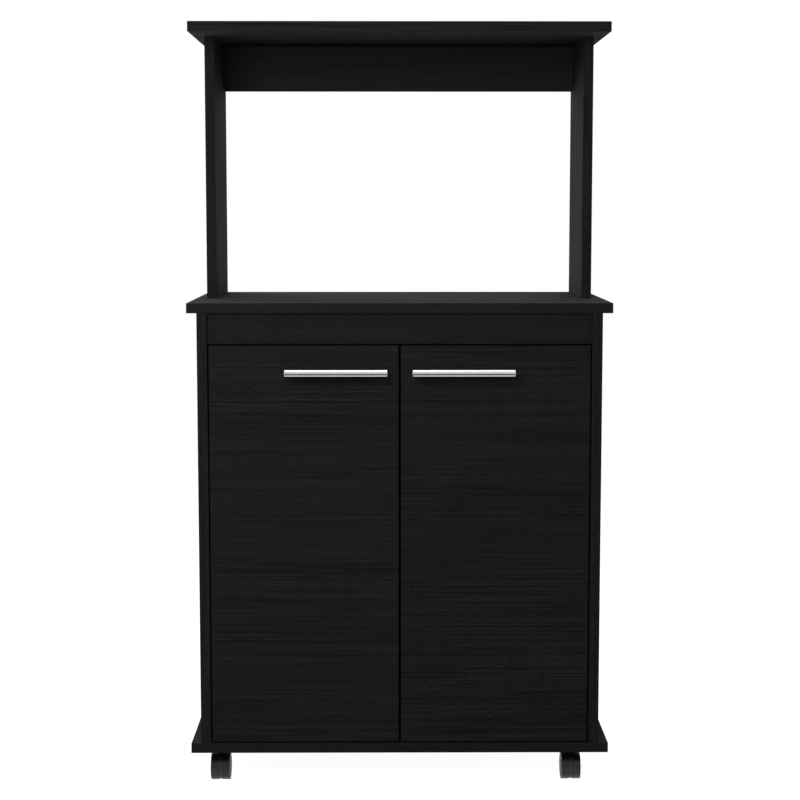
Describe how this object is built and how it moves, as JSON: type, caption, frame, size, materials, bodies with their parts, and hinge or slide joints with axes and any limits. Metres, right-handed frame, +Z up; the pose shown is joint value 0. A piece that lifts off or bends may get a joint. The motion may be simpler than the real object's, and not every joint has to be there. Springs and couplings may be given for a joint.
{
  "type": "microwave cabinet",
  "caption": "Black-brown microwave cabinet on swivel casters: two-door cupboard with bar handles and a worktop, under an open hutch with a shelf board on top.",
  "frame": {"origin": "on the floor, in the middle of the overall width and depth with the doors shut", "axes": "+X to the right seen from the front, +Y towards the back, +Z up; the doors face -Y"},
  "size_m": [0.63, 0.391, 1.145],
  "materials": {
    "dark_wood_laminate": "black-brown laminate with a fine straight grain, low sheen",
    "dark_hardboard": "painted hardboard, matt",
    "satin_nickel": "satin, brushed round",
    "nickel_plated_steel": "nickel plated",
    "zinc_plated_steel": "zinc plated",
    "beech": "bare fluted beech",
    "black_cover_plastic": "moulded, matt",
    "black_nylon": "moulded, matt",
    "black_wheel_plastic": "moulded, low sheen"
  },
  "bodies": {
    "carcass": {"base_board": "dark_wood_laminate", "left_side_panel": "dark_wood_laminate", "right_side_panel": "dark_wood_laminate", "counter_top": "dark_wood_laminate", "front_fascia": "dark_wood_laminate", "inner_shelf": "dark_wood_laminate", "back_panel": "dark_hardboard", "left_hutch_side": "dark_wood_laminate", "right_hutch_side": "dark_wood_laminate", "hutch_back_rail": "dark_wood_laminate", "top_board": "dark_wood_laminate", "base_screws": "zinc_plated_steel", "hutch_screws": "zinc_plated_steel", "cam_locks": "zinc_plated_steel", "cam_bolts": "zinc_plated_steel", "cam_covers": "black_cover_plastic", "dowels": "beech", "shelf_pins": "zinc_plated_steel", "back_nails": "zinc_plated_steel", "left_hinge_arms": "nickel_plated_steel", "right_hinge_arms": "nickel_plated_steel", "hinge_mounting_plates": "nickel_plated_steel", "hinge_plate_screws": "zinc_plated_steel", "caster_kingpins": "zinc_plated_steel", "caster_plate_screws": "zinc_plated_steel", "front_left_caster_plate": "zinc_plated_steel", "front_right_caster_plate": "zinc_plated_steel", "rear_left_caster_plate": "zinc_plated_steel", "rear_right_caster_plate": "zinc_plated_steel"},
    "left_door": {"left_door": "dark_wood_laminate", "left_handle_bar": "satin_nickel", "left_handle_posts": "satin_nickel", "left_handle_screws": "zinc_plated_steel", "left_hinge_cups": "nickel_plated_steel", "left_hinge_pins": "zinc_plated_steel", "left_cup_screws": "zinc_plated_steel"},
    "right_door": {"right_door": "dark_wood_laminate", "right_handle_bar": "satin_nickel", "right_handle_posts": "satin_nickel", "right_handle_screws": "zinc_plated_steel", "right_hinge_cups": "nickel_plated_steel", "right_hinge_pins": "zinc_plated_steel", "right_cup_screws": "zinc_plated_steel"},
    "front_left_swivel": {"front_left_caster_body": "black_nylon", "front_left_axle": "zinc_plated_steel"},
    "front_left_outer_wheel": {"front_left_outer_wheel": "black_wheel_plastic"},
    "front_left_inner_wheel": {"front_left_inner_wheel": "black_wheel_plastic"},
    "front_right_swivel": {"front_right_caster_body": "black_nylon", "front_right_axle": "zinc_plated_steel"},
    "front_right_outer_wheel": {"front_right_outer_wheel": "black_wheel_plastic"},
    "front_right_inner_wheel": {"front_right_inner_wheel": "black_wheel_plastic"},
    "rear_left_swivel": {"rear_left_caster_body": "black_nylon", "rear_left_axle": "zinc_plated_steel"},
    "rear_left_outer_wheel": {"rear_left_outer_wheel": "black_wheel_plastic"},
    "rear_left_inner_wheel": {"rear_left_inner_wheel": "black_wheel_plastic"},
    "rear_right_swivel": {"rear_right_caster_body": "black_nylon", "rear_right_axle": "zinc_plated_steel"},
    "rear_right_outer_wheel": {"rear_right_outer_wheel": "black_wheel_plastic"},
    "rear_right_inner_wheel": {"rear_right_inner_wheel": "black_wheel_plastic"}
  },
  "joints": [
    {"name": "left_door_hinge", "type": "hinge", "parent": "carcass", "child": "left_door", "pos_m": [-0.271, -0.1565, 0.367], "axis": [0, 0, -1], "range_deg": [0, 95]},
    {"name": "right_door_hinge", "type": "hinge", "parent": "carcass", "child": "right_door", "pos_m": [0.271, -0.1565, 0.367], "axis": [0, 0, 1], "range_deg": [0, 95]},
    {"name": "front_left_swivel", "type": "hinge", "parent": "carcass", "child": "front_left_swivel", "pos_m": [-0.273, -0.1155, 0.045], "axis": [0, 0, 1], "continuous": true},
    {"name": "front_left_outer_roll", "type": "hinge", "parent": "front_left_swivel", "child": "front_left_outer_wheel", "pos_m": [-0.2814, -0.1315, 0.02], "axis": [1, 0, 0], "continuous": true},
    {"name": "front_left_inner_roll", "type": "hinge", "parent": "front_left_swivel", "child": "front_left_inner_wheel", "pos_m": [-0.2646, -0.1315, 0.02], "axis": [1, 0, 0], "continuous": true},
    {"name": "front_right_swivel", "type": "hinge", "parent": "carcass", "child": "front_right_swivel", "pos_m": [0.261, -0.1155, 0.045], "axis": [0, 0, 1], "continuous": true},
    {"name": "front_right_outer_roll", "type": "hinge", "parent": "front_right_swivel", "child": "front_right_outer_wheel", "pos_m": [0.2694, -0.1315, 0.02], "axis": [1, 0, 0], "continuous": true},
    {"name": "front_right_inner_roll", "type": "hinge", "parent": "front_right_swivel", "child": "front_right_inner_wheel", "pos_m": [0.2526, -0.1315, 0.02], "axis": [1, 0, 0], "continuous": true},
    {"name": "rear_left_swivel", "type": "hinge", "parent": "carcass", "child": "rear_left_swivel", "pos_m": [-0.273, 0.1465, 0.045], "axis": [0, 0, 1], "continuous": true},
    {"name": "rear_left_outer_roll", "type": "hinge", "parent": "rear_left_swivel", "child": "rear_left_outer_wheel", "pos_m": [-0.2814, 0.1305, 0.02], "axis": [1, 0, 0], "continuous": true},
    {"name": "rear_left_inner_roll", "type": "hinge", "parent": "rear_left_swivel", "child": "rear_left_inner_wheel", "pos_m": [-0.2646, 0.1305, 0.02], "axis": [1, 0, 0], "continuous": true},
    {"name": "rear_right_swivel", "type": "hinge", "parent": "carcass", "child": "rear_right_swivel", "pos_m": [0.261, 0.1465, 0.045], "axis": [0, 0, 1], "continuous": true},
    {"name": "rear_right_outer_roll", "type": "hinge", "parent": "rear_right_swivel", "child": "rear_right_outer_wheel", "pos_m": [0.2694, 0.1305, 0.02], "axis": [1, 0, 0], "continuous": true},
    {"name": "rear_right_inner_roll", "type": "hinge", "parent": "rear_right_swivel", "child": "rear_right_inner_wheel", "pos_m": [0.2526, 0.1305, 0.02], "axis": [1, 0, 0], "continuous": true}
  ]
}
